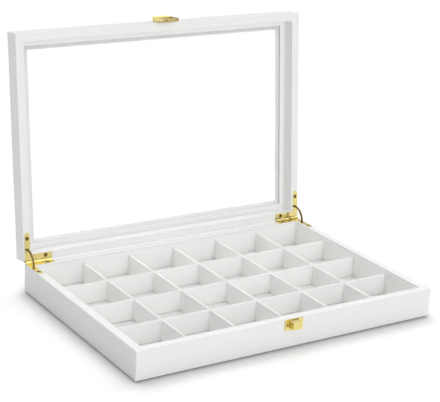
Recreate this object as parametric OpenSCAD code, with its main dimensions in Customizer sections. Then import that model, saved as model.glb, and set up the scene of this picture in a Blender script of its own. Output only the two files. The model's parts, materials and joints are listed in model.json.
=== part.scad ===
// Cufflink display box: a white lacquered case with 24 compartments and a glass lid.
// The lid stands open on its two stop hinges. Millimetres, front towards -Y, up +Z.
// The origin is the centre of the underside, on the surface that the box stands on.

/* [Box] */
// Width of the box, left to right
box_w = 350; // [300:1:420]
// Depth of the box, front to back
box_d = 240; // [200:1:300]
// Height of the base's rails
base_h = 30.5; // [27:0.5:45]
// Height of the lid's rails
lid_h = 20; // [18.5:0.5:30]
// Width of the rails of the base and the lid
rail_w = 9.5; // [9:0.25:12]
// Gap between the rims of the closed box
rim_gap = 0.4; // [0.3:0.05:0.6]
// Angle between the closed and the open lid
open_angle = 96; // [88:1:102]
// Radius of the rails' long edges
edge_r = 1.2; // [0.6:0.1:1.4]
// Radius of the box's upright corners
corner_r = 1.5; // [1:0.1:2]

/* [Bottom] */
// Thickness of the bottom panel
panel_t = 2.4; // [1.8:0.1:3.2]
// How far the bottom panel laps under the rails
panel_lap = 4; // [3:0.25:5]
// Gap round the bottom panel in its rebate
panel_gap = 0.2; // [0.1:0.05:0.4]
// Thickness of the felt under the box
felt_t = 1.5; // [1:0.1:2.5]
// How far the felt's edge stays inside the box's edge
felt_inset = 2.5; // [1.5:0.25:5]

/* [Compartments] */
// Thickness of a divider
divider_t = 3; // [2:0.25:4]
// How far the dividers' tops lie below the rim
divider_drop = 5.5; // [3.5:0.25:8]
// Gap between a divider's end and the wall lining
divider_gap = 0.2; // [0.1:0.05:0.4]
// Gap on each side where two dividers are halved together
halving_gap = 0.1; // [0.05:0.05:0.2]
// Thickness of the wall linings
lining_t = 0.8; // [0.6:0.1:1.5]
// How far the wall linings end below the rim
lining_drop = 2.2; // [1.5:0.1:3]
// Thickness of the floor lining
floor_t = 0.8; // [0.6:0.1:1.5]

/* [Window] */
// Thickness of the lip that the glass lies on
lip_t = 2.2; // [1.8:0.1:3]
// How far the lip reaches inwards from the rails
lip_reach = 10.5; // [9:0.25:13]
// Thickness of the glass
glass_t = 1.8; // [1.5:0.1:2.5]
// Gap between the glass's edge and the rails
glass_gap = 0.5; // [0.3:0.1:0.8]
// Thickness of the glazing beads
bead_t = 1.6; // [1.2:0.1:2.2]
// Width of the glazing beads
bead_w = 6.5; // [5:0.25:8]

/* [Hinges] */
// Thickness of a hinge leaf
leaf_t = 1.2; // [1:0.1:1.4]
// Middle of the side leg and of the stay, from the box's side
leg_in = 4.2; // [4:0.1:4.75]
// Width of the leaf's side leg
leg_w = 6; // [5.5:0.25:6.25]
// Length of the side leg, from the hinge axis
leg_len = 32.5; // [30:0.5:45]
// How far the back leg reaches past the barrel's end
back_over = 0.6; // [0.2:0.1:4]
// Reach of the back leg's front edge, from the hinge axis
back_reach = 8.2; // [7.4:0.1:8.4]
// Radius of the hinge barrel
barrel_r = 2.3; // [2:0.05:2.4]
// Start of the barrel, from the box's side
barrel_start = 1.2; // [1.1:0.1:2.5]
// Length of the barrel
barrel_len = 30; // [24:0.5:40]
// Gap between two knuckles
knuckle_gap = 0.25; // [0.2:0.05:0.4]
// Gap round the barrel in the rails and at the leaves' edges
barrel_gap = 0.3; // [0.25:0.05:0.4]
// Radius of the hinge pin
pin_r = 1; // [0.8:0.05:1.2]
// Radial clearance of a pin in its bores
pin_fit = 0.05; // [0.03:0.01:0.08]
// Radius of the hinge pin's heads
pin_head_r = 1.5; // [1.35:0.05:1.7]
// Thickness of the hinge pin's heads
pin_head_t = 0.4; // [0.3:0.05:0.5]
// Gap round a leaf in its mortise
leaf_gap = 0.1; // [0.05:0.05:0.2]

/* [Stays] */
// Mean radius of the curved stay
stay_r = 14; // [13.5:0.25:15]
// Radial width of the stay
stay_w = 2; // [1.8:0.1:2.6]
// Thickness of the stay
stay_t = 1.4; // [1:0.1:1.6]
// Radius of the pins across the stay's ends
stay_end_r = 1.1; // [0.9:0.05:1.15]
// Length of the pins across the stay's ends
stay_end_len = 4.2; // [3.8:0.1:4.4]
// Gap round the stay in its slots and pockets
stay_gap = 0.3; // [0.25:0.05:0.35]
// Gap between the stay's end pins and the leaves in the open position
stop_gap = 0.1; // [0.05:0.05:0.2]

/* [Screws] */
// Radius of a screw's head
head_r = 2.1; // [1.9:0.05:2.3]
// Height of a screw's countersunk head
head_h = 1; // [0.9:0.05:1]
// Radius of a screw's shank
shank_r = 0.9; // [0.7:0.05:1.1]
// Length of a screw
screw_len = 7; // [5:0.5:8]
// Clearance of a screw in its hole
screw_fit = 0.05; // [0.03:0.01:0.1]
// Width of the cross recess's slots
recess_w = 0.7; // [0.5:0.05:0.8]
// Depth of the cross recess
recess_depth = 0.6; // [0.4:0.05:0.6]
// Length of the cross recess's slots
recess_len = 2.6; // [2.2:0.1:2.7]
// Screw of the hinge's side leg, from the leg's end
leg_screw_in = 6.5; // [4:0.25:8]
// Screw of the hinge's back leg, from the leg's end
back_screw_in = 7; // [4:0.25:10]

/* [Latch on the lid] */
// Width of the latch plate and the hasp
latch_w = 20; // [18:0.5:24]
// Thickness of the latch plate
latch_t = 1; // [1:0.1:1.4]
// Lower edge of the latch plate, above the lid's rim
latch_low = 1.6; // [1.5:0.1:2]
// Upper edge of the latch plate, above the lid's rim
latch_high = 11.6; // [11:0.1:14]
// Height of the hasp's pivot above the lid's rim
pivot_up = 10; // [9.5:0.1:10.5]
// Distance of the hasp's pivot from the lid's face
pivot_out = 4.4; // [4.2:0.1:4.6]
// Radius of the hasp's knuckles
pivot_r = 1.6; // [1.4:0.05:1.7]
// Radius of the hasp's pin
pivot_pin_r = 0.7; // [0.5:0.05:0.8]
// Half the width of the hasp's middle knuckle
pivot_half = 4.75; // [4:0.05:5.5]
// Latch plate's screws, from the plate's sides
latch_screw_in = 3.6; // [3:0.1:4.4]
// Latch plate's screws, above the lid's rim
latch_screw_up = 4.8; // [4.2:0.1:5.2]

/* [Hasp] */
// Thickness of the hasp
hasp_t = 1.2; // [1:0.1:1.4]
// Gap between the lid's face and the inside of the hasp's face
hasp_out = 3.8; // [3.6:0.1:4]
// How far the hasp reaches below the lid's rim
hasp_drop = 12.2; // [12:0.1:13]
// Radius of the hasp's lower corners
hasp_r = 2; // [1.5:0.1:3]
// Thickness of the hasp's turned-in side flanges and tongue
flange_t = 1; // [0.8:0.1:1.1]
// How far the side flanges stop above the hasp's lower end
flange_short = 1.6; // [1.4:0.2:5]
// Width of the tongue that is turned in at the hasp's lower end
tongue_w = 10; // [8:0.5:14]
// Gap between the flanges and the plates under them
flange_gap = 0.2; // [0.15:0.05:0.3]
// Gap above and beside the lug in the hasp's slot
slot_gap = 0.6; // [0.5:0.05:0.8]
// Gap below the lug in the hasp's slot
slot_low_gap = 1; // [0.9:0.05:1.2]

/* [Catch on the base] */
// Width of the catch plate
catch_w = 21; // [20.5:0.5:26]
// Height of the catch plate
catch_h = 11.4; // [11:0.1:14]
// Thickness of the catch plate
catch_t = 1; // [1:0.1:1.4]
// Top edge of the catch plate, below the rim
catch_drop = 0.4; // [0.3:0.1:1]
// Width of the raised pad
pad_w = 11; // [10.6:0.1:11.2]
// Height of the raised pad
pad_h = 9; // [8.6:0.1:9.2]
// Top of the raised pad, below the rim
pad_drop = 0.9; // [0.8:0.1:1.1]
// How far the raised pad stands out from the box's face
pad_out = 2; // [1.6:0.1:2.4]
// Width of the lug, which goes through the hasp
lug_w = 10.4; // [8:0.2:10.6]
// Height of the lug
lug_h = 8; // [7.6:0.1:8.2]
// Top of the lug, below the rim
lug_drop = 1.3; // [1.2:0.1:1.5]
// How far the lug stands out from the box's face
lug_out = 7.5; // [6.8:0.1:7.8]
// Height of the snap nib under the lug
nib_h = 0.3; // [0.2:0.05:0.35]
// Catch plate's screws, from the plate's sides
catch_screw_in = 2.6; // [2.4:0.05:2.7]

/* [Hidden] */
$fn = 64;

// Sides of the box, as turns from the front in degrees
front_angle = 0;
right_angle = 90;
back_angle = 180;
left_angle = 270;

// The compartments' counts go with the list of dividers above
column_count = 6;
row_count = 4;
knuckle_count = 5;

// A cutting shape reaches this far past the face that it cuts
past = 1;

rim_z = felt_t + base_h;
lid_rim_z = rim_z + rim_gap;
lid_top_z = lid_rim_z + lid_h;
axis_y = box_d / 2;
axis_z = rim_z + rim_gap / 2;
floor_z = felt_t + panel_t + floor_t;
divider_top_z = rim_z - divider_drop;
divider_h = divider_top_z - floor_z;

// Clear space between the wall linings, and the size of one compartment
inner_w = box_w - 2 * (rail_w + lining_t);
inner_d = box_d - 2 * (rail_w + lining_t);
cell_w = (inner_w - (column_count - 1) * divider_t) / column_count;
cell_d = (inner_d - (row_count - 1) * divider_t) / row_count;

// Hinge: u inwards from the box's side, v forwards from the axis, w up from the axis
leg_screw = leg_len - leg_screw_in;
back_len = barrel_start + barrel_len + back_over;
back_screw = back_len - back_screw_in;
leaf_back = barrel_r + barrel_gap;
leaf_face = rim_gap / 2;
knuckle_len = (barrel_len - (knuckle_count - 1) * knuckle_gap) / knuckle_count;
back_screw_v = (leaf_back + back_reach) / 2;
leaf_end_r = 1;

// The stay's end pins stop under the leaves, at this angle from the stay's middle
stay_end_angle = open_angle / 2 + asin((leaf_face + leaf_t + stay_end_r + stop_gap) / stay_r);
pocket_angle = stay_end_angle + (stay_end_r + stay_gap) / stay_r * 180 / PI;
slot_angle = 20;

// Hasp and catch, measured up from the rim and out from the front face
hasp_high = pivot_up - pivot_r - barrel_gap;
slot_w = lug_w + 2 * slot_gap;
slot_high = -rim_gap - lug_drop + slot_gap;
slot_low = -rim_gap - lug_drop - lug_h - slot_low_gap;
latch_screw_x = latch_w / 2 - latch_screw_in;
catch_screw_x = catch_w / 2 - catch_screw_in;
catch_screw_up = -catch_drop - catch_h / 2;
plate_r = 1.2;

// Thickness of the webs that carry the latch plate's knuckles
web_t = 1.5;

// Waste of a square corner that is rounded to radius r, at the origin
module corner_waste(r) {
    difference() {
        translate([-past, -past])
            square(r + past);
        translate([r, r])
            circle(r);
    }
}

// Rectangle with a radius of its own at each corner, counted round from the origin
module eased_rectangle(w, h, r) {
    difference() {
        square([w, h]);
        if (r[0] > 0)
            corner_waste(r[0]);
        if (r[1] > 0)
            translate([w, 0])
                rotate(90)
                    corner_waste(r[1]);
        if (r[2] > 0)
            translate([w, h])
                rotate(180)
                    corner_waste(r[2]);
        if (r[3] > 0)
            translate([0, h])
                rotate(270)
                    corner_waste(r[3]);
    }
}

function is_long(side) = side % 180 == 0;
function side_length(side) = is_long(side) ? box_w : box_d;
function side_offset(side) = (is_long(side) ? box_d : box_w) / 2;

// Places what is drawn along +X, with its outer face at y = 0 and its inside towards +Y
module on_side(side, inset = 0) {
    rotate(side)
        translate([0, inset - side_offset(side), 0])
            children();
}

// Plan of a piece with mitred ends
module mitred_plan(length, reach) {
    polygon([
        [-length / 2, 0],
        [length / 2, 0],
        [length / 2 - reach, reach],
        [reach - length / 2, reach]
    ]);
}

// Rail with mitred ends, whose section is given as x inwards and y upwards
module mitred_rail(length, reach, height) {
    difference() {
        intersection() {
            rotate([90, 0, 90])
                linear_extrude(length, center = true)
                    children();
            linear_extrude(height)
                mitred_plan(length, reach);
        }
        for (flip = [0, 1])
            mirror([flip, 0, 0])
                translate([-length / 2, 0, -past])
                    linear_extrude(height + 2 * past)
                        corner_waste(corner_r);
    }
}

// Turns the closed lid up to the angle of the open one
module opened(angle = open_angle) {
    translate([0, axis_y, axis_z])
        rotate([-angle, 0, 0])
            translate([0, -axis_y, -axis_z])
                children();
}

// Places what is drawn in the hinge's own u, v and w
module hinge_frame(left) {
    mirror([left ? 1 : 0, 0, 0])
        translate([box_w / 2, axis_y, axis_z])
            rotate(180)
                children();
}

// Ring round the hinge axis, in the middle of the side leg: 90 degrees points forwards and 0 down
module axis_arc(r, radial, thickness, from, to) {
    translate([leg_in, 0, 0])
        rotate([0, 90, 0])
            rotate(from)
                rotate_extrude(angle = to - from)
                    translate([r - radial / 2, -thickness / 2])
                        square([radial, thickness]);
}

// Places what is drawn on the front face: x to the right, y up from the given height, z out
module front_frame(z) {
    translate([0, -box_d / 2, z])
        rotate([90, 0, 0])
            children();
}

// Countersunk screw, or its hole with some clearance, whose head is at z = 0 and points up
module screw_body(extra = 0) {
    rotate_extrude()
        polygon([
            [0, extra > 0 ? past : 0],
            [head_r + extra, extra > 0 ? past : 0],
            [head_r + extra, 0],
            [shank_r + extra, -head_h],
            [shank_r + extra, -screw_len - extra],
            [0, -screw_len - extra - shank_r]
        ]);
}

module screw() {
    difference() {
        screw_body();
        for (turn = [0, 90])
            rotate(turn)
                translate([-recess_len / 2, -recess_w / 2, -recess_depth])
                    cube([recess_len, recess_w, recess_depth + past]);
    }
}

module screw_hole() {
    screw_body(screw_fit);
}

// Places screws or their holes in one hinge leaf
module at_leaf_screws() {
    translate([leg_in, leg_screw, -leaf_face])
        children();
    translate([back_screw, back_screw_v, -leaf_face])
        children();
}

// L-shaped plan of a hinge leaf, or of its mortise with some clearance
module leaf_plan(extra = 0) {
    leg_start = leg_in - leg_w / 2 - extra;
    translate([leg_start, leaf_back - extra])
        square([leg_w + 2 * extra, leg_len - leg_w / 2 - leaf_back + extra]);
    translate([leg_in, leg_len - leg_w / 2])
        circle(leg_w / 2 + extra);
    translate([leg_start, leaf_back - extra])
        eased_rectangle(
            back_len + extra - leg_start,
            back_reach - leaf_back + 2 * extra,
            [0, leaf_end_r, leaf_end_r, 0]
        );
}

// Every second knuckle of the barrel, joined to the leaf below the axis
module leaf_knuckles(first) {
    for (i = [first : 2 : knuckle_count - 1])
        translate([barrel_start + i * (knuckle_len + knuckle_gap), 0, 0]) {
            rotate([0, 90, 0])
                cylinder(r = barrel_r, h = knuckle_len);
            translate([0, pin_r, -leaf_face - leaf_t])
                cube([knuckle_len, leaf_back + past - pin_r, leaf_t]);
        }
}

// A leaf below the axis, with its knuckles, its slot for the stay and its screw holes
module leaf(first) {
    difference() {
        union() {
            translate([0, 0, -leaf_face - leaf_t])
                linear_extrude(leaf_t)
                    leaf_plan();
            leaf_knuckles(first);
        }
        translate([barrel_start - past, 0, 0])
            rotate([0, 90, 0])
                cylinder(r = pin_r + pin_fit, h = barrel_len + 2 * past);
        axis_arc(stay_r, stay_w + 2 * stay_gap, stay_t + 2 * stay_gap, 90 - slot_angle, 90);
        at_leaf_screws()
            screw_hole();
    }
}

// What one hinge leaf, the barrel and the stay take out of the rails below the axis
module hinge_recess() {
    translate([0, 0, -leaf_face - leaf_t])
        linear_extrude(leaf_t + past)
            leaf_plan(leaf_gap);
    translate([barrel_start - pin_head_t - barrel_gap, 0, 0])
        rotate([0, 90, 0])
            cylinder(
                r = barrel_r + barrel_gap,
                h = barrel_len + 2 * (pin_head_t + barrel_gap)
            );
    for (i = [0 : knuckle_count - 1])
        translate([
            barrel_start + i * (knuckle_len + knuckle_gap) - leaf_gap,
            0,
            -leaf_face - leaf_t
        ])
            cube([knuckle_len + 2 * leaf_gap, leaf_back, leaf_t + past]);
    axis_arc(
        stay_r,
        stay_w + 2 * stay_gap,
        stay_end_len + 2 * stay_gap,
        90 - pocket_angle,
        90
    );
    at_leaf_screws()
        screw_hole();
}

module hinge_recesses(upper) {
    for (left = [false, true])
        hinge_frame(left)
            mirror([0, 0, upper ? 1 : 0])
                hinge_recess();
}

module base_rail(side) {
    color("white")
        difference() {
            translate([0, 0, felt_t])
                on_side(side)
                    mitred_rail(side_length(side), rail_w, base_h)
                        difference() {
                            eased_rectangle(rail_w, base_h, [edge_r, 0, edge_r, edge_r]);
                            translate([rail_w - panel_lap, -past])
                                square([panel_lap + past, panel_t + past]);
                        }
            if (side != front_angle)
                hinge_recesses(false);
            if (side == front_angle)
                catch_screw_places()
                    screw_hole();
        }
}

module bottom_panel() {
    w = box_w - 2 * (rail_w - panel_lap + panel_gap);
    d = box_d - 2 * (rail_w - panel_lap + panel_gap);
    color("whitesmoke")
        translate([-w / 2, -d / 2, felt_t])
            cube([w, d, panel_t]);
}

module underside_felt() {
    w = box_w - 2 * felt_inset;
    d = box_d - 2 * felt_inset;
    color("gray")
        translate([-w / 2, -d / 2, 0])
            linear_extrude(felt_t)
                eased_rectangle(w, d, [corner_r, corner_r, corner_r, corner_r]);
}

module floor_lining() {
    w = box_w - 2 * rail_w;
    d = box_d - 2 * rail_w;
    color("white")
        translate([-w / 2, -d / 2, felt_t + panel_t])
            cube([w, d, floor_t]);
}

// The front and back linings run the whole way, and the side ones fit between them
module wall_lining(side) {
    trim = is_long(side) ? 0 : lining_t;
    length = side_length(side) - 2 * (rail_w + trim);
    color("white")
        on_side(side, rail_w)
            translate([-length / 2, 0, floor_z])
                cube([length, lining_t, rim_z - lining_drop - floor_z]);
}

// Places of the dividers' middles, counted from the left and from the front
function column_x(i) = i * (cell_w + divider_t) - (inner_w + divider_t) / 2;
function row_y(i) = i * (cell_d + divider_t) - (inner_d + divider_t) / 2;

// Board that stands on the floor lining along X, open at its halving slots
module divider(length, slots, slots_z) {
    slot_width = divider_t + 2 * halving_gap;
    slot_height = divider_h / 2;
    color("white")
        difference() {
            translate([-length / 2, -divider_t / 2, 0])
                cube([length, divider_t, divider_h]);
            for (x = slots)
                translate([x - slot_width / 2, -divider_t, slots_z])
                    cube([slot_width, 2 * divider_t, slot_height + past]);
        }
}

// Row dividers are slotted from above, and column dividers from below
module divider_row(i) {
    translate([0, row_y(i), floor_z])
        divider(
            inner_w - 2 * divider_gap,
            [for (c = [1 : column_count - 1]) column_x(c)],
            divider_h / 2
        );
}

module divider_column(i) {
    translate([column_x(i), 0, floor_z])
        rotate(90)
            divider(
                inner_d - 2 * divider_gap,
                [for (r = [1 : row_count - 1]) row_y(r)],
                halving_gap - past
            );
}

module lid_rail(side) {
    color("white")
        opened()
            difference() {
                translate([0, 0, lid_rim_z])
                    on_side(side)
                        mitred_rail(side_length(side), rail_w + lip_reach, lid_h) {
                            eased_rectangle(rail_w, lid_h, [edge_r, edge_r, 0, edge_r]);
                            translate([rail_w - past, lid_h - lip_t])
                                eased_rectangle(
                                    lip_reach + past,
                                    lip_t,
                                    [0, 0, lip_t / 2, 0]
                                );
                        }
                if (side != front_angle)
                    hinge_recesses(true);
                if (side == front_angle)
                    latch_screw_places()
                        screw_hole();
            }
}

module lid_glass() {
    w = box_w - 2 * (rail_w + glass_gap);
    d = box_d - 2 * (rail_w + glass_gap);
    color("lightcyan", 0.35)
        opened()
            translate([-w / 2, -d / 2, lid_top_z - lip_t - glass_t])
                cube([w, d, glass_t]);
}

module glazing_bead(side) {
    length = side_length(side) - 2 * rail_w;
    color("white")
        opened()
            on_side(side, rail_w)
                translate([0, 0, lid_top_z - lip_t - glass_t - bead_t])
                    intersection() {
                        rotate([90, 0, 90])
                            linear_extrude(length, center = true)
                                eased_rectangle(bead_w, bead_t, [0, bead_t / 2, 0, 0]);
                        linear_extrude(bead_t)
                            mitred_plan(length, bead_w);
                    }
}

module hinge_base_leaf(left) {
    color("gold")
        hinge_frame(left)
            leaf(0);
}

module hinge_lid_leaf(left) {
    color("gold")
        opened()
            hinge_frame(left)
                mirror([0, 0, 1])
                    leaf(1);
}

module hinge_pin(left) {
    color("goldenrod")
        hinge_frame(left)
            translate([barrel_start, 0, 0])
                rotate([0, 90, 0]) {
                    cylinder(r = pin_r, h = barrel_len);
                    for (z = [-pin_head_t, barrel_len])
                        translate([0, 0, z])
                            cylinder(r = pin_head_r, h = pin_head_t);
                }
}

// The stay turns half as far as the lid, so it is drawn half way open
module stay(left) {
    color("gold")
        opened(open_angle / 2)
            hinge_frame(left) {
                axis_arc(stay_r, stay_w, stay_t, 90 - stay_end_angle, 90 + stay_end_angle);
                for (angle = [90 - stay_end_angle, 90 + stay_end_angle])
                    translate([leg_in - stay_end_len / 2, 0, 0])
                        rotate([0, 90, 0])
                            rotate(angle)
                                translate([stay_r, 0, 0])
                                    cylinder(r = stay_end_r, h = stay_end_len);
            }
}

module base_hinge_screws() {
    color("goldenrod")
        for (left = [false, true])
            hinge_frame(left)
                at_leaf_screws()
                    screw();
}

module lid_hinge_screws() {
    color("goldenrod")
        opened()
            for (left = [false, true])
                hinge_frame(left)
                    mirror([0, 0, 1])
                        at_leaf_screws()
                            screw();
}

// Places of the latch plate's two screws, on the closed lid's front face
module latch_screw_places() {
    front_frame(lid_rim_z)
        for (x = [-latch_screw_x, latch_screw_x])
            translate([x, latch_screw_up, latch_t])
                children();
}

module catch_screw_places() {
    front_frame(rim_z)
        for (x = [-catch_screw_x, catch_screw_x])
            translate([x, catch_screw_up, catch_t])
                children();
}

// Cylinder on the hasp's pivot axis
module on_pivot(r, from, to) {
    translate([from, pivot_up, pivot_out])
        rotate([0, 90, 0])
            cylinder(r = r, h = to - from);
}

module latch_plate() {
    color("gold")
        opened()
            difference() {
                front_frame(lid_rim_z)
                    difference() {
                        union() {
                            translate([-latch_w / 2, latch_low, 0])
                                linear_extrude(latch_t)
                                    eased_rectangle(
                                        latch_w,
                                        latch_high - latch_low,
                                        [plate_r, plate_r, plate_r, plate_r]
                                    );
                            for (flip = [0, 1])
                                mirror([flip, 0, 0]) {
                                    on_pivot(pivot_r, pivot_half + knuckle_gap, latch_w / 2);
                                    translate([
                                        pivot_half + knuckle_gap,
                                        pivot_up - web_t / 2,
                                        latch_t / 2
                                    ])
                                        cube([
                                            latch_w / 2 - pivot_half - knuckle_gap,
                                            web_t,
                                            pivot_out - latch_t / 2
                                        ]);
                                }
                        }
                        on_pivot(pivot_pin_r + pin_fit, -latch_w / 2 - past, latch_w / 2 + past);
                    }
                latch_screw_places()
                    screw_hole();
            }
}

module latch_plate_screws() {
    color("goldenrod")
        opened()
            latch_screw_places()
                screw();
}

module latch_pin() {
    color("goldenrod")
        opened()
            front_frame(lid_rim_z)
                on_pivot(pivot_pin_r, -latch_w / 2, latch_w / 2);
}

// Hasp that is bent from one plate: a face, two side flanges and a tongue at its lower end
module latch_hasp() {
    flange_low = latch_t + flange_gap;
    flange_high = hasp_out + hasp_t - flange_low;
    color("gold")
        opened()
            front_frame(lid_rim_z)
                difference() {
                    union() {
                        on_pivot(pivot_r, -pivot_half, pivot_half);
                        translate([-pivot_half, hasp_high - past, hasp_out])
                            cube([2 * pivot_half, pivot_up - hasp_high + past, hasp_t]);
                        translate([-latch_w / 2, -hasp_drop, hasp_out])
                            linear_extrude(hasp_t)
                                eased_rectangle(
                                    latch_w,
                                    hasp_drop + hasp_high,
                                    [hasp_r, hasp_r, 0, 0]
                                );
                        for (x = [-latch_w / 2, latch_w / 2 - flange_t])
                            translate([x, flange_short - hasp_drop, flange_low])
                                cube([
                                    flange_t,
                                    hasp_high + hasp_drop - flange_short,
                                    flange_high
                                ]);
                        translate([-tongue_w / 2, -hasp_drop, flange_low])
                            cube([tongue_w, flange_t, flange_high]);
                    }
                    on_pivot(pivot_pin_r + pin_fit, -latch_w / 2, latch_w / 2);
                    translate([-slot_w / 2, slot_low, hasp_out - past])
                        cube([slot_w, slot_high - slot_low, hasp_t + 2 * past]);
                }
}

module catch_plate() {
    color("gold")
        difference() {
            front_frame(rim_z) {
                translate([-catch_w / 2, -catch_drop - catch_h, 0])
                    linear_extrude(catch_t)
                        eased_rectangle(catch_w, catch_h, [plate_r, plate_r, plate_r, plate_r]);
                translate([-pad_w / 2, -pad_drop - pad_h, 0])
                    linear_extrude(pad_out)
                        eased_rectangle(pad_w, pad_h, [plate_r, plate_r, plate_r, plate_r]);
                translate([-lug_w / 2, -lug_drop - lug_h, 0])
                    cube([lug_w, lug_h, lug_out]);
                translate([nib_h - lug_w / 2, -lug_drop - lug_h, lug_out - 2 * nib_h])
                    rotate([0, 90, 0])
                        cylinder(r = nib_h, h = lug_w - 2 * nib_h);
            }
            catch_screw_places()
                screw_hole();
        }
}

module catch_plate_screws() {
    color("goldenrod")
        catch_screw_places()
            screw();
}

base_rail(front_angle);  // base_front_rail
base_rail(right_angle);  // base_right_rail
base_rail(back_angle);  // base_back_rail
base_rail(left_angle);  // base_left_rail
bottom_panel();
underside_felt();
floor_lining();
wall_lining(front_angle);  // front_wall_lining
wall_lining(right_angle);  // right_wall_lining
wall_lining(back_angle);  // back_wall_lining
wall_lining(left_angle);  // left_wall_lining
for (i = [1 : row_count - 1])
    divider_row(i);
for (i = [1 : column_count - 1])
    divider_column(i);
lid_rail(front_angle);  // lid_front_rail
lid_rail(right_angle);  // lid_right_rail
lid_rail(back_angle);  // lid_back_rail
lid_rail(left_angle);  // lid_left_rail
lid_glass();
glazing_bead(front_angle);  // front_glazing_bead
glazing_bead(right_angle);  // right_glazing_bead
glazing_bead(back_angle);  // back_glazing_bead
glazing_bead(left_angle);  // left_glazing_bead
hinge_base_leaf(true);  // left_hinge_base_leaf
hinge_base_leaf(false);  // right_hinge_base_leaf
hinge_lid_leaf(true);  // left_hinge_lid_leaf
hinge_lid_leaf(false);  // right_hinge_lid_leaf
hinge_pin(true);  // left_hinge_pin
hinge_pin(false);  // right_hinge_pin
stay(true);  // left_stay
stay(false);  // right_stay
base_hinge_screws();
lid_hinge_screws();
latch_plate();
latch_plate_screws();
latch_hasp();
latch_pin();
catch_plate();
catch_plate_screws();
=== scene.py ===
# %% [markdown]
# # Cufflink display box
#
# A shallow white lacquered case with a glass-topped lid, shown open. The hard
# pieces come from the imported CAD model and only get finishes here. The soft
# pieces, which are the suedette linings, the covered dividers and the felt
# under the box, are made again with rounded edges and a little give.

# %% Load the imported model
import json
import math

import bmesh
import bpy
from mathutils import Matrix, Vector, noise


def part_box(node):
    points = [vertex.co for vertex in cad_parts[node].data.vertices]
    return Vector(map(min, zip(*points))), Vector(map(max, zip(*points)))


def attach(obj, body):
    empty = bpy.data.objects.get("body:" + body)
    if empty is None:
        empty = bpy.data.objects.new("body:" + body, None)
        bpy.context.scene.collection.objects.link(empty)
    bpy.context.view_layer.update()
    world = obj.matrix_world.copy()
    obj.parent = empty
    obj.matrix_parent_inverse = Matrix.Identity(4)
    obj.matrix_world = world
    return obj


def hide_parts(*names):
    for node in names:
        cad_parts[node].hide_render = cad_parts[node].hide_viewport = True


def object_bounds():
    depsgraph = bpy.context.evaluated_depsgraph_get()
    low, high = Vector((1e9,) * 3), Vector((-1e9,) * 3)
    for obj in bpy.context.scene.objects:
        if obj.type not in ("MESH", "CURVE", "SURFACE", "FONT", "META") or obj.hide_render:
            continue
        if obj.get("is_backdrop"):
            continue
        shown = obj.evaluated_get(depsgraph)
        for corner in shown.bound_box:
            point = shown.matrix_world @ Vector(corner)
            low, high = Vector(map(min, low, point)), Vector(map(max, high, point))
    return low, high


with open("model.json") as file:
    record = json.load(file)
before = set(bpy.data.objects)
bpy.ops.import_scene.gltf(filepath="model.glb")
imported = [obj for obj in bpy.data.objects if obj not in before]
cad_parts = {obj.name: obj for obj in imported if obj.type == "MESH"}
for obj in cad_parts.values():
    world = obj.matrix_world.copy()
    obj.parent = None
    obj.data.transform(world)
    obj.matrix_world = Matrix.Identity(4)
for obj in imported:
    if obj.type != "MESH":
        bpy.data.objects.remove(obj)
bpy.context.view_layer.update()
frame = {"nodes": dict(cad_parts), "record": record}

MM = 0.001
nodes = frame["nodes"]

# %% [markdown]
# ## Colour and node helpers
#
# Colours are picked as sRGB hex values, the way a paint chart gives them.
# Blender's shaders work in linear light, so one function turns a hex value
# into linear red, green and blue. A second function adds a node to a material,
# sets it up and links it, so that each material below reads as a short list.
# Patterns are sized in real millimetres: a texture's scale is the number of
# repeats in a metre. A material starts from one colour and the typical values
# of what it is, and its nodes then vary them. Some nodes have several sockets of
# one name, so these go by place: a Math node's two values are 0 and 1, and a Mix
# node's two colours are 6 and 7, with the mixed colour at output 2.

# %% Helpers for colours, scales and nodes
def linear(hex_colour):
    values = [int(hex_colour[start : start + 2], 16) / 255 for start in (1, 3, 5)]
    return tuple(
        v / 12.92 if v <= 0.04045 else ((v + 0.055) / 1.055) ** 2.4 for v in values
    ) + (1.0,)


def per_metre(millimetres):
    return 1000 / millimetres


def add_node(tree, kind, inputs=None, **settings):
    made = tree.nodes.new(kind)
    for name, value in settings.items():
        setattr(made, name, value)
    for name, value in (inputs or {}).items():
        if isinstance(value, bpy.types.NodeSocket):
            tree.links.new(value, made.inputs[name])
        else:
            made.inputs[name].default_value = value
    return made


def new_material(name, colour, **shader_values):
    material = bpy.data.materials.new(name)
    material.use_nodes = True
    tree = material.node_tree
    shader = tree.nodes["Principled BSDF"]
    shader.inputs["Base Color"].default_value = linear(colour)
    for socket, value in shader_values.items():
        shader.inputs[socket.replace("_", " ")].default_value = value
    place = add_node(tree, "ShaderNodeTexCoord").outputs["Object"]
    return material, tree, shader, place


print("white lacquer in linear light:", [round(v, 3) for v in linear("#F4F4F3")])

# %% [markdown]
# ## Sprayed satin lacquer
#
# The rails, and the beads that hold the glass, are fibreboard, sprayed with
# white polyurethane lacquer and left satin. Up close such a coat is never quite
# flat: it keeps a faint "orange peel" of waves one or two millimetres long, its
# sheen drifts a little from place to place, and a nib of dust stands up here
# and there. Bump gives peel and nibs, because they are a few hundredths of a
# millimetre high and would be wasted as geometry.

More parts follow.
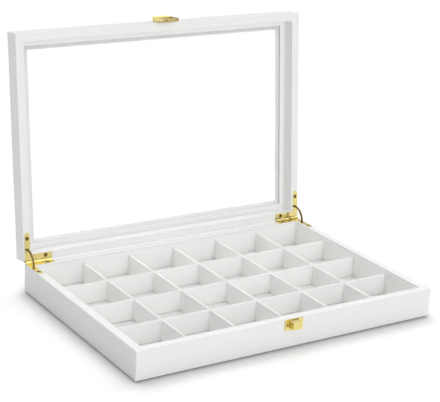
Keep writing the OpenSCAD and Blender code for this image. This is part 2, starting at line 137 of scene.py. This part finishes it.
# %% Material: sprayed satin lacquer
# Lengths of its patterns in millimetres, as in each material below. A nib's
# radius is a share of the spacing, and the relief's height is in metres.
TONE_PATCH = 45
SHEEN_PATCH = 28
PEEL_WAVE = 1.6
NIB_SPACING = 22
NIB_SHARE = 0.018
PEEL_HEIGHT = 0.03 * MM
lacquer, tree, shader, place = new_material(
    "sprayed_satin_lacquer", "#F4F4F3", IOR=1.5, Roughness=0.38
)
tone = add_node(
    tree, "ShaderNodeTexNoise", {"Vector": place, "Scale": per_metre(TONE_PATCH), "Detail": 3.0}
)
coat = add_node(
    tree,
    "ShaderNodeMix",
    {"Factor": tone.outputs["Fac"], 6: linear("#F6F6F5"), 7: linear("#F2F2F1")},
    data_type="RGBA",
)
tree.links.new(coat.outputs[2], shader.inputs["Base Color"])
drift = add_node(
    tree, "ShaderNodeTexNoise", {"Vector": place, "Scale": per_metre(SHEEN_PATCH), "Detail": 2.0}
)
satin = add_node(
    tree, "ShaderNodeMapRange", {"Value": drift.outputs["Fac"], "To Min": 0.33, "To Max": 0.43}
)
tree.links.new(satin.outputs["Result"], shader.inputs["Roughness"])
peel = add_node(
    tree, "ShaderNodeTexNoise", {"Vector": place, "Scale": per_metre(PEEL_WAVE), "Detail": 1.0}
)
nibs = add_node(tree, "ShaderNodeTexVoronoi", {"Vector": place, "Scale": per_metre(NIB_SPACING)})
nib = add_node(
    tree,
    "ShaderNodeMapRange",
    {
        "Value": nibs.outputs["Distance"],
        "From Min": 0.0,
        "From Max": NIB_SHARE,
        "To Min": 1.0,
        "To Max": 0.0,
    },
)
relief = add_node(
    tree, "ShaderNodeMath", {0: nib.outputs["Result"], 1: peel.outputs["Fac"]}, operation="ADD"
)
bump = add_node(
    tree,
    "ShaderNodeBump",
    {"Height": relief.outputs["Value"], "Strength": 0.35, "Distance": PEEL_HEIGHT},
)
tree.links.new(bump.outputs["Normal"], shader.inputs["Normal"])
print(lacquer.name, "has", len(tree.nodes), "nodes")
# To the eye: an even, neutral white with soft, wide highlights.

# %% [markdown]
# ## White suedette
#
# The floor, the walls and the dividers are covered with suedette, a polyester
# microfibre brushed to a short nap. The nap scatters light in every direction
# and glows a little where it is seen edge-on, which the shader's sheen gives.
# Where a hand has passed, the nap lies over and the tone shifts slightly.
# Its fibres are a hundredth of a millimetre thick or less, so the nap is drawn
# coarser than life, at about half a millimetre, to show at all.

# %% Material: white suedette
STROKE_PATCH = 17
NAP_GRAIN = 0.5
NAP_HEIGHT = 0.12 * MM
suedette, tree, shader, place = new_material(
    "white_suedette", "#FAFAF9", Roughness=0.92, Sheen_Weight=0.25, Sheen_Roughness=0.45
)
stroked = add_node(
    tree, "ShaderNodeTexNoise", {"Vector": place, "Scale": per_metre(STROKE_PATCH), "Detail": 2.0}
)
nap = add_node(
    tree, "ShaderNodeTexNoise", {"Vector": place, "Scale": per_metre(NAP_GRAIN), "Detail": 3.0}
)
strokes = add_node(
    tree,
    "ShaderNodeMix",
    {"Factor": stroked.outputs["Fac"], 6: linear("#FDFDFC"), 7: linear("#F9F8F7")},
    data_type="RGBA",
)
fleck = add_node(tree, "ShaderNodeMapRange", {"Value": nap.outputs["Fac"], "To Min": 0.0, "To Max": 0.35})
fibres = add_node(
    tree,
    "ShaderNodeMix",
    {"Factor": fleck.outputs["Result"], 6: strokes.outputs[2], 7: linear("#F4F3F2")},
    data_type="RGBA",
)
tree.links.new(fibres.outputs[2], shader.inputs["Base Color"])
bump = add_node(
    tree, "ShaderNodeBump", {"Height": nap.outputs["Fac"], "Strength": 0.5, "Distance": NAP_HEIGHT}
)
tree.links.new(bump.outputs["Normal"], shader.inputs["Normal"])
print(suedette.name, "has", len(tree.nodes), "nodes")
# To the eye: a matt, bright white with no highlight, soft at every edge.

# %% [markdown]
# ## Gold plate
#
# The hinges' leaves and pins, the latch and its catch, with their own screws,
# are stamped steel with a polished, pale gold plating. A metal has no colour of
# its own beneath its reflections: the base colour tints them, and it keeps the
# shader's default IOR. Stamping and polishing leave the surface faintly uneven,
# so the roughness drifts and a very low bump bends the reflections. In the
# screws' recesses and along the seams between leaf, knuckle and pin, an ambient
# occlusion node finds things close by and darkens the tint there as painted
# shade. The Bevel node rounds every stamped edge by a tenth of a millimetre for
# the light only, because it is far too fine to model.

# %% Material: polished gold plate
POLISH_PATCH = 5
DENT_WAVE = 3
DENT_HEIGHT = 0.015 * MM
SEAM_REACH = 0.9 * MM
STAMPED_ROUND = 0.12 * MM
gold, tree, shader, place = new_material(
    "polished_gold_plate", "#E4D38C", Metallic=1.0, Roughness=0.2
)
polish = add_node(
    tree, "ShaderNodeTexNoise", {"Vector": place, "Scale": per_metre(POLISH_PATCH), "Detail": 3.0}
)
buffed = add_node(
    tree, "ShaderNodeMapRange", {"Value": polish.outputs["Fac"], "To Min": 0.15, "To Max": 0.24}
)
tree.links.new(buffed.outputs["Result"], shader.inputs["Roughness"])
depth = add_node(
    tree,
    "ShaderNodeMix",
    {"Factor": polish.outputs["Fac"], 6: linear("#E8D896"), 7: linear("#E0CD80")},
    data_type="RGBA",
)
# Painted shade: where the ambient occlusion finds things close by, in recesses and seams, the tint
# darkens towards dark brown.
seam = add_node(
    tree, "ShaderNodeAmbientOcclusion", {"Distance": SEAM_REACH}, samples=8, only_local=False
)
painted_seam_shade = add_node(
    tree,
    "ShaderNodeMapRange",
    {"Value": seam.outputs["AO"], "From Min": 0.35, "From Max": 0.85, "To Min": 1.0, "To Max": 0.0},
)
tint = add_node(
    tree,
    "ShaderNodeMix",
    {"Factor": painted_seam_shade.outputs["Result"], 6: depth.outputs[2], 7: linear("#5A4720")},
    data_type="RGBA",
)
tree.links.new(tint.outputs[2], shader.inputs["Base Color"])
edges = add_node(tree, "ShaderNodeBevel", {"Radius": STAMPED_ROUND}, samples=4)
dents = add_node(
    tree, "ShaderNodeTexNoise", {"Vector": place, "Scale": per_metre(DENT_WAVE), "Detail": 1.0}
)
bump = add_node(
    tree,
    "ShaderNodeBump",
    {
        "Height": dents.outputs["Fac"],
        "Strength": 0.3,
        "Distance": DENT_HEIGHT,
        "Normal": edges.outputs["Normal"],
    },
)
tree.links.new(bump.outputs["Normal"], shader.inputs["Normal"])
print(gold.name, "has", len(tree.nodes), "nodes")
# To the eye: a pale yellow mirror, a little soft, with painted shade in its seams.

# %% [markdown]
# ## Bronzed brass
#
# The two curved stays and the hinge screws look much darker than the leaves.
# They are taken to be brass with a dark skin from bronzing, a common finish for
# small screws. Handling wears the skin through to brighter metal in patches a
# few millimetres wide, which a noise mixes in.

# %% Material: bronzed brass
WEAR_PATCH = 2.5
bronzed, tree, shader, place = new_material(
    "bronzed_brass", "#6E5A2C", Metallic=1.0, Roughness=0.3
)
wear = add_node(
    tree, "ShaderNodeTexNoise", {"Vector": place, "Scale": per_metre(WEAR_PATCH), "Detail": 3.0}
)
skin = add_node(
    tree,
    "ShaderNodeMix",
    {"Factor": wear.outputs["Fac"], 6: linear("#54431E"), 7: linear("#8A7238")},
    data_type="RGBA",
)
tree.links.new(skin.outputs[2], shader.inputs["Base Color"])
bronze_sheen = add_node(
    tree, "ShaderNodeMapRange", {"Value": wear.outputs["Fac"], "To Min": 0.36, "To Max": 0.24}
)
tree.links.new(bronze_sheen.outputs["Result"], shader.inputs["Roughness"])
print(bronzed.name, "has", len(tree.nodes), "nodes")
# To the eye: a dark brown metal with a soft shine.

# %% [markdown]
# ## Clear float glass
#
# The pane in the lid is float glass, not quite two millimetres thick. Cycles
# bends light through it and reflects the room in it. Seen square on, such a
# pane is almost invisible. A mix with a Transparent shader for shadow rays lets
# the lamps reach what lies behind it, which saves tracing slow, noisy caustics.
# Washing leaves a trace of haze, drawn as a roughness that stays close to zero.

# %% Material: clear float glass
HAZE_PATCH = 90
glass, tree, shader, place = new_material(
    "clear_float_glass", "#FBFDFC", IOR=1.45, Roughness=0.0, Transmission_Weight=1.0
)
haze = add_node(
    tree, "ShaderNodeTexNoise", {"Vector": place, "Scale": per_metre(HAZE_PATCH), "Detail": 2.0}
)
washed = add_node(
    tree, "ShaderNodeMapRange", {"Value": haze.outputs["Fac"], "To Min": 0.0, "To Max": 0.012}
)
tree.links.new(washed.outputs["Result"], shader.inputs["Roughness"])
path = add_node(tree, "ShaderNodeLightPath")
clear = add_node(tree, "ShaderNodeBsdfTransparent")
pane = add_node(
    tree,
    "ShaderNodeMixShader",
    {0: path.outputs["Is Shadow Ray"], 1: shader.outputs["BSDF"], 2: clear.outputs["BSDF"]},
)
tree.links.new(pane.outputs["Shader"], tree.nodes["Material Output"].inputs["Surface"])
print(glass.name, "has", len(tree.nodes), "nodes")
# To the eye: nothing, except a faint reflection.

# %% [markdown]
# ## Felt and board under the box
#
# The underside is a thin hardboard panel, faced white, with grey needle felt
# glued over it so that the box doesn't scratch a table. Felt is pressed fibre:
# a flecked grey of several shades, quite matt.

# %% Materials: needle felt and faced hardboard
FIBRE_CLUMP = 0.9
FIBRE_HEIGHT = 0.2 * MM
FACING_SPECK = 2
felt, tree, shader, place = new_material(
    "grey_needle_felt", "#77777A", Roughness=1.0, Sheen_Weight=0.3, Sheen_Roughness=0.5
)
fibre = add_node(
    tree, "ShaderNodeTexNoise", {"Vector": place, "Scale": per_metre(FIBRE_CLUMP), "Detail": 6.0}
)
fleck = add_node(
    tree,
    "ShaderNodeMix",
    {"Factor": fibre.outputs["Fac"], 6: linear("#5E5E62"), 7: linear("#8D8D90")},
    data_type="RGBA",
)
tree.links.new(fleck.outputs[2], shader.inputs["Base Color"])
bump = add_node(
    tree, "ShaderNodeBump", {"Height": fibre.outputs["Fac"], "Strength": 0.6, "Distance": FIBRE_HEIGHT}
)
tree.links.new(bump.outputs["Normal"], shader.inputs["Normal"])

board, tree, shader, place = new_material("faced_hardboard", "#E6E4DE", Roughness=0.6)
speck = add_node(
    tree, "ShaderNodeTexNoise", {"Vector": place, "Scale": per_metre(FACING_SPECK), "Detail": 5.0}
)
facing = add_node(
    tree,
    "ShaderNodeMix",
    {"Factor": speck.outputs["Fac"], 6: linear("#E9E7E1"), 7: linear("#E1DED6")},
    data_type="RGBA",
)
tree.links.new(facing.outputs[2], shader.inputs["Base Color"])
print(felt.name, "and", board.name, "are made")
# To the eye: a flecked matt grey, and a plain off-white that hardly shows.

# %% [markdown]
# ## Finishes for the CAD pieces
#
# Every hard piece keeps its CAD shape. Its finish follows from the material
# slot that the record gives it, so one table covers them all.

# %% Give each CAD node its finish
FINISHES = {
    "white_lacquer": lacquer,
    "white_suedette": suedette,
    "gold_plate": gold,
    "bronzed_brass": bronzed,
    "clear_glass": glass,
    "grey_felt": felt,
    "panel_board": board,
}
slot_of = {part["node"]: part["material_slot"] for part in frame["record"]["subparts"]}
for name, piece in nodes.items():
    piece.data.materials.clear()
    piece.data.materials.append(FINISHES[slot_of[name]])
print({slot: list(slot_of.values()).count(slot) for slot in FINISHES})

# %% [markdown]
# ## Covered dividers
#
# A divider is a board with suedette pulled over it, so its top edges are round
# and soft where the cloth turns over. The CAD solid has the right board, with
# its halving slots, but crisp edges. A copy of it with its long top edges
# bevelled into a round takes its place. Corners that lie together are welded
# first and flat neighbouring faces are joined, so that each edge is there once
# and only real edges are left to round.

# %% Helpers: weld a copy of a CAD solid, round its edges, put it in its place
WELD = 0.001 * MM
FLAT_ANGLE = math.radians(0.5)
SHARP_ANGLE = math.radians(35)


def welded_copy(node):
    shape = bmesh.new()
    shape.from_mesh(nodes[node].data)
    bmesh.ops.remove_doubles(shape, verts=shape.verts, dist=WELD)
    bmesh.ops.dissolve_limit(
        shape, angle_limit=FLAT_ANGLE, verts=shape.verts, edges=shape.edges
    )
    return shape


def finish_piece(shape, name, node, material):
    mesh = bpy.data.meshes.new(name)
    shape.to_mesh(mesh)
    shape.free()
    piece = bpy.data.objects.new(name, mesh)
    bpy.context.scene.collection.objects.link(piece)
    mesh.materials.append(material)
    mesh.shade_smooth()
    mesh.set_sharp_from_angle(angle=SHARP_ANGLE)
    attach(piece, "base")
    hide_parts(node)


def round_edges(shape, chosen, radius, steps):
    picked = [edge for edge in shape.edges if chosen(edge)]
    bmesh.ops.bevel(
        shape, geom=picked, offset=radius, segments=steps, profile=0.5, affect="EDGES",
        clamp_overlap=True,
    )
    return len(picked)


# %% Make the dividers
DIVIDER_ROUND = 1.1 * MM
# How exactly both ends of an edge lie at one height, and what counts as long
LEVEL = 0.01 * MM
LONG_EDGE = 5 * MM


def at_height(edge, z):
    return all(abs(corner.co.z - z) < LEVEL for corner in edge.verts)


def length_along(edge, axis):
    return abs((edge.verts[0].co - edge.verts[1].co)[axis])


for name in [node for node in nodes if node.startswith("divider_")]:
    low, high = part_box(name)
    shape = welded_copy(name)
    along = 0 if high.x - low.x > high.y - low.y else 1
    count = round_edges(
        shape,
        lambda edge: at_height(edge, high.z) and length_along(edge, along) > LONG_EDGE,
        DIVIDER_ROUND,
        4,
    )
    finish_piece(shape, name.replace("divider", "covered_divider"), name, suedette)
    print(name, count, "top edges rounded")

# %% [markdown]
# ## Wall linings
#
# The walls are lined with thin card under the same suedette. The cloth turns
# over the card's top edge, so the edge is all but half round.

# %% Make the wall linings
LINING_ROUND = 0.38 * MM
for side in ("front", "right", "back", "left"):
    name = f"{side}_wall_lining"
    low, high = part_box(name)
    shape = welded_copy(name)
    count = round_edges(
        shape,
        lambda edge: at_height(edge, high.z) and edge.calc_length() > LONG_EDGE,
        LINING_ROUND,
        3,
    )
    finish_piece(shape, f"{side}_wall_suedette", name, suedette)
    print(name, count, "top edges rounded")

# %% [markdown]
# ## Floor lining
#
# The floor is one sheet of suedette on card that lies under the dividers. They
# press it down, and between them it springs up a little, so each compartment
# has a soft, shallow cushion of a floor. The sheet is a grid whose lines lie
# close together beside the dividers, where its surface bends most. A skirt
# goes down from its rim to the card's underside, and one face closes it there.

# %% Set out the compartments
floor_low, floor_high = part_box("floor_lining")
# Where the grid has its lines, as shares of a compartment's width
LINE_SHARES = [0, 0.02, 0.05, 0.1, 0.18, 0.3, 0.42, 0.5, 0.58, 0.7, 0.82, 0.9, 0.95, 0.98, 1]
columns = [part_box(name) for name in sorted(nodes) if name.startswith("divider_column_")]
rows = [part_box(name) for name in sorted(nodes) if name.startswith("divider_row_")]


def gaps(start, end, dividers):
    edges = [start] + [side for divider in dividers for side in divider] + [end]
    return list(zip(edges[0::2], edges[1::2]))


def grid_lines(spans):
    return [start + (end - start) * share for start, end in spans for share in LINE_SHARES]


x_gaps = gaps(floor_low.x, floor_high.x, [(low.x, high.x) for low, high in columns])
y_gaps = gaps(floor_low.y, floor_high.y, [(low.y, high.y) for low, high in rows])
xs = grid_lines(x_gaps)
ys = grid_lines(y_gaps)
print(len(x_gaps), "by", len(y_gaps), "compartments")

# %% Make the floor lining
# How deep the dividers press the sheet, and how far from them it is up again
PRESSED = 0.4 * MM
EASE = 5 * MM
# The depth of the card's slow waves, and their length in millimetres
RIPPLE = 0.06 * MM
RIPPLE_WAVE = 16


def rise(place, spans):
    for start, end in spans:
        if start < place < end:
            way_up = min(1, min(place - start, end - place) / EASE)
            return way_up * way_up * (3 - 2 * way_up)
    return 0


shape = bmesh.new()
grid = []
for x in xs:
    line = []
    for y in ys:
        lift = min(rise(x, x_gaps), rise(y, y_gaps))
        wave = noise.noise(Vector((x, y, 0)) * per_metre(RIPPLE_WAVE)) - 1
        z = floor_high.z - PRESSED * (1 - lift) + RIPPLE * lift * wave
        line.append(shape.verts.new((x, y, z)))
    grid.append(line)
for i in range(len(xs) - 1):
    for j in range(len(ys) - 1):
        shape.faces.new((grid[i][j], grid[i + 1][j], grid[i + 1][j + 1], grid[i][j + 1]))
rim = [edge for edge in shape.edges if edge.is_boundary]
skirt = bmesh.ops.extrude_edge_only(shape, edges=rim)["geom"]
for corner in [item for item in skirt if isinstance(item, bmesh.types.BMVert)]:
    corner.co.z = floor_low.z
bmesh.ops.holes_fill(shape, edges=[edge for edge in shape.edges if edge.is_boundary])
bmesh.ops.recalc_face_normals(shape, faces=shape.faces)
finish_piece(shape, "floor_suedette", "floor_lining", suedette)
print("floor grid", len(xs), "by", len(ys))

# %% [markdown]
# ## Felt pad
#
# The felt is cut with a knife, and its edge frays into a soft round.

# %% Make the felt pad
FELT_ROUND = 0.5 * MM
shape = welded_copy("underside_felt")
low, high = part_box("underside_felt")
count = round_edges(
    shape,
    lambda edge: at_height(edge, high.z) or at_height(edge, low.z),
    FELT_ROUND,
    3,
)
finish_piece(shape, "underside_felt_pad", "underside_felt", felt)
print("felt pad:", count, "edges rounded")

# %% [markdown]
# ## Table
#
# The box stands on a plain white table, made as a disc whose edge is far away.
# Its diffuse surface keeps the soft shadow of the box. What the camera, a
# reflection or the glass sees of it is lifted to white by a little emission.
# Diffuse rays don't see that, so it doesn't light the object. The lift would
# wash out the dark line where box and table meet, so an ambient occlusion node
# fades it there, and darkens the table's colour over the last 20 millimetres
# as a painted contact shadow.

# %% Make the table
TABLE_RADIUS = 7
TABLE_LIFT = 0.14
# The table's tone in the open, and the painted shadow's tone where half of the space above it is shut off
OPEN_TONE = 0.98
PAINTED_SHADOW_TONE = 0.64
CONTACT_REACH = 20 * MM
bpy.ops.mesh.primitive_circle_add(
    vertices=96, radius=TABLE_RADIUS, fill_type="NGON", location=(0, 0, 0)
)
table = bpy.context.object
table.name = "white_table"
table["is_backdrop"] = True
paper = bpy.data.materials.new("white_paper")
paper.use_nodes = True
tree = paper.node_tree
tree.nodes.clear()
path = add_node(tree, "ShaderNodeLightPath")
seen_or_mirrored = add_node(
    tree,
    "ShaderNodeMath",
    {0: path.outputs["Is Camera Ray"], 1: path.outputs["Is Glossy Ray"]},
    operation="MAXIMUM",
)
seen = add_node(
    tree,
    "ShaderNodeMath",
    {0: seen_or_mirrored.outputs["Value"], 1: path.outputs["Is Transmission Ray"]},
    operation="MAXIMUM",
)
contact = add_node(
    tree, "ShaderNodeAmbientOcclusion", {"Distance": CONTACT_REACH}, samples=8, only_local=False
)
# Painted contact shadow: near the box the ambient occlusion darkens the table's colour and fades its
# lift.
painted_contact_shadow = add_node(
    tree,
    "ShaderNodeMapRange",
    {
        "Value": contact.outputs["AO"],
        "From Min": 0.5,
        "From Max": 1.0,
        "To Min": PAINTED_SHADOW_TONE,
        "To Max": OPEN_TONE,
    },
)
lift = add_node(
    tree, "ShaderNodeMath", {0: seen.outputs["Value"], 1: TABLE_LIFT}, operation="MULTIPLY"
)
shadow_faded_lift = add_node(
    tree, "ShaderNodeMath", {0: lift.outputs["Value"], 1: painted_contact_shadow.outputs["Result"]}, operation="MULTIPLY"
)
matt = add_node(tree, "ShaderNodeBsdfDiffuse", {"Color": painted_contact_shadow.outputs["Result"]})
glow = add_node(tree, "ShaderNodeEmission", {"Strength": shadow_faded_lift.outputs["Value"]})
both = add_node(tree, "ShaderNodeAddShader", {0: matt.outputs["BSDF"], 1: glow.outputs["Emission"]})
add_node(tree, "ShaderNodeOutputMaterial", {"Surface": both.outputs["Shader"]})
table.data.materials.append(paper)
print(table.name, "is", 2 * TABLE_RADIUS, "m across")
# To the eye: plain white paper, with the soft shadow of the box on it, painted darker where they meet.

# %% [markdown]
# ## Studio light
#
# The photograph was taken in soft light: tops are brightest, the front a little
# darker and the left side darker again, and the shadow falls to the left. A
# diffusing cloth in front of a lamp, a scrim, lights like a wide patch of sky,
# so each one here is a sun lamp that is tens of degrees wide. The strengths
# were fitted to the tones of the box's flat faces. The world sends diffuse
# surfaces no light: it shows white to the camera and through the glass, and
# gives shiny surfaces a bright ceiling and darker walls to reflect, without
# which polished plate would look like paint.

# %% Make the studio's walls and ceiling
# How bright both look in a reflection
WALL_LEVEL = 0.45
CEILING_LEVEL = 1.25
# How steeply a reflection has to look up to leave the wall and reach the ceiling
WALL_TOP = 0.1
CEILING_EDGE = 0.55
world = bpy.data.worlds.new("studio")
bpy.context.scene.world = world
world.use_nodes = True
tree = world.node_tree
tree.nodes.clear()
path = add_node(tree, "ShaderNodeLightPath")
direct = add_node(
    tree,
    "ShaderNodeMath",
    {0: path.outputs["Is Camera Ray"], 1: path.outputs["Is Transmission Ray"]},
    operation="MAXIMUM",
)
way = add_node(tree, "ShaderNodeTexCoord").outputs["Generated"]
parts = add_node(tree, "ShaderNodeSeparateXYZ", {"Vector": way})
room = add_node(
    tree,
    "ShaderNodeMapRange",
    {
        "Value": parts.outputs["Z"],
        "From Min": WALL_TOP,
        "From Max": CEILING_EDGE,
        "To Min": WALL_LEVEL,
        "To Max": CEILING_LEVEL,
    },
)
mirrored = add_node(
    tree,
    "ShaderNodeMath",
    {0: path.outputs["Is Glossy Ray"], 1: room.outputs["Result"]},
    operation="MULTIPLY",
)
level = add_node(
    tree,
    "ShaderNodeMix",
    {"Factor": direct.outputs["Value"], 2: mirrored.outputs["Value"], 3: 1.0},
    data_type="FLOAT",
)
sky = add_node(tree, "ShaderNodeBackground", {"Strength": level.outputs[0]})
add_node(tree, "ShaderNodeOutputWorld", {"Surface": sky.outputs["Background"]})
print(world.name, "has walls at", WALL_LEVEL, "and a ceiling at", CEILING_LEVEL)

# %% Hang the lamps
# For each lamp: which way it lies from the box, its width in degrees, its strength
SCRIMS = {
    "overhead_scrim": ((0, 0, 1), 70, 0.97),
    "front_scrim": ((0, -1, 0.35), 50, 1.46),
    "rear_scrim": ((0, 1, 1), 50, 1.12),
    "right_scrim": ((1, 0.45, 0.75), 40, 0.95),
    "left_scrim": ((-1, -0.3, 0.5), 50, 0.3),
}
lamps = {}
for name, (side, width, strength) in SCRIMS.items():
    sun = bpy.data.lights.new(name, "SUN")
    sun.angle = math.radians(width)
    sun.energy = strength
    lamps[name] = bpy.data.objects.new(name, sun)
    lamps[name].rotation_euler = Vector(side).to_track_quat("Z", "Y").to_euler()
    bpy.context.scene.collection.objects.link(lamps[name])
print("lamps:", ", ".join(lamps))

# %% [markdown]
# ## Flag two lamps off the glass
#
# When the lid is shut, someone behind the box would see the front lamp mirrored
# in the pane as a blown-out patch that hides the compartments. A photographer
# holds a black card, a flag, where it keeps that mirror image away. Light
# linking does the same: a collection names what the lamp must not reach. The
# overhead lamp is flagged too, because without that the compartments of the
# shut box render burnt out. Both lamps still light them through the pane, which
# lets shadow rays pass.

# %% Flag the front and the overhead lamp
panes = bpy.data.collections.new("panes_off_two_lamps")
for name in [node for node in nodes if slot_of[node] == "clear_glass"]:
    panes.objects.link(nodes[name])
for entry in panes.collection_objects:
    entry.light_linking.link_state = "EXCLUDE"
for name in ("front_scrim", "overhead_scrim"):
    lamps[name].light_linking.receiver_collection = panes

# %% [markdown]
# ## Camera
#
# Its place, turn and lens were worked out from the box's own edges in the
# photograph, whose frame is 440 by 402 pixels. The lens came out of that in
# pixels, and the sensor's width turns it into millimetres.

# %% Place the camera
PHOTO_WIDTH = 440
FOCAL_PIXELS = 1400.765
SENSOR_WIDTH = 36
CAMERA_PLACE = (-0.754812, -1.125499, 0.572591)
CAMERA_TURN = (71.275, -2.911, -32.357)
lens = bpy.data.cameras.new("photo_camera")
lens.sensor_fit = "HORIZONTAL"
lens.sensor_width = SENSOR_WIDTH
lens.lens = FOCAL_PIXELS / PHOTO_WIDTH * SENSOR_WIDTH
lens.clip_end = 50
camera = bpy.data.objects.new("photo_camera", lens)
bpy.context.scene.collection.objects.link(camera)
camera.location = CAMERA_PLACE
camera.rotation_euler = [math.radians(angle) for angle in CAMERA_TURN]
bpy.context.scene.camera = camera
bpy.context.scene.view_settings.view_transform = "Standard"
print("lens", round(lens.lens, 2), "mm")

# %% Print the sizes and finish
low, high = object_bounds()
print("visual box", [round(v, 4) for v in low], [round(v, 4) for v in high])
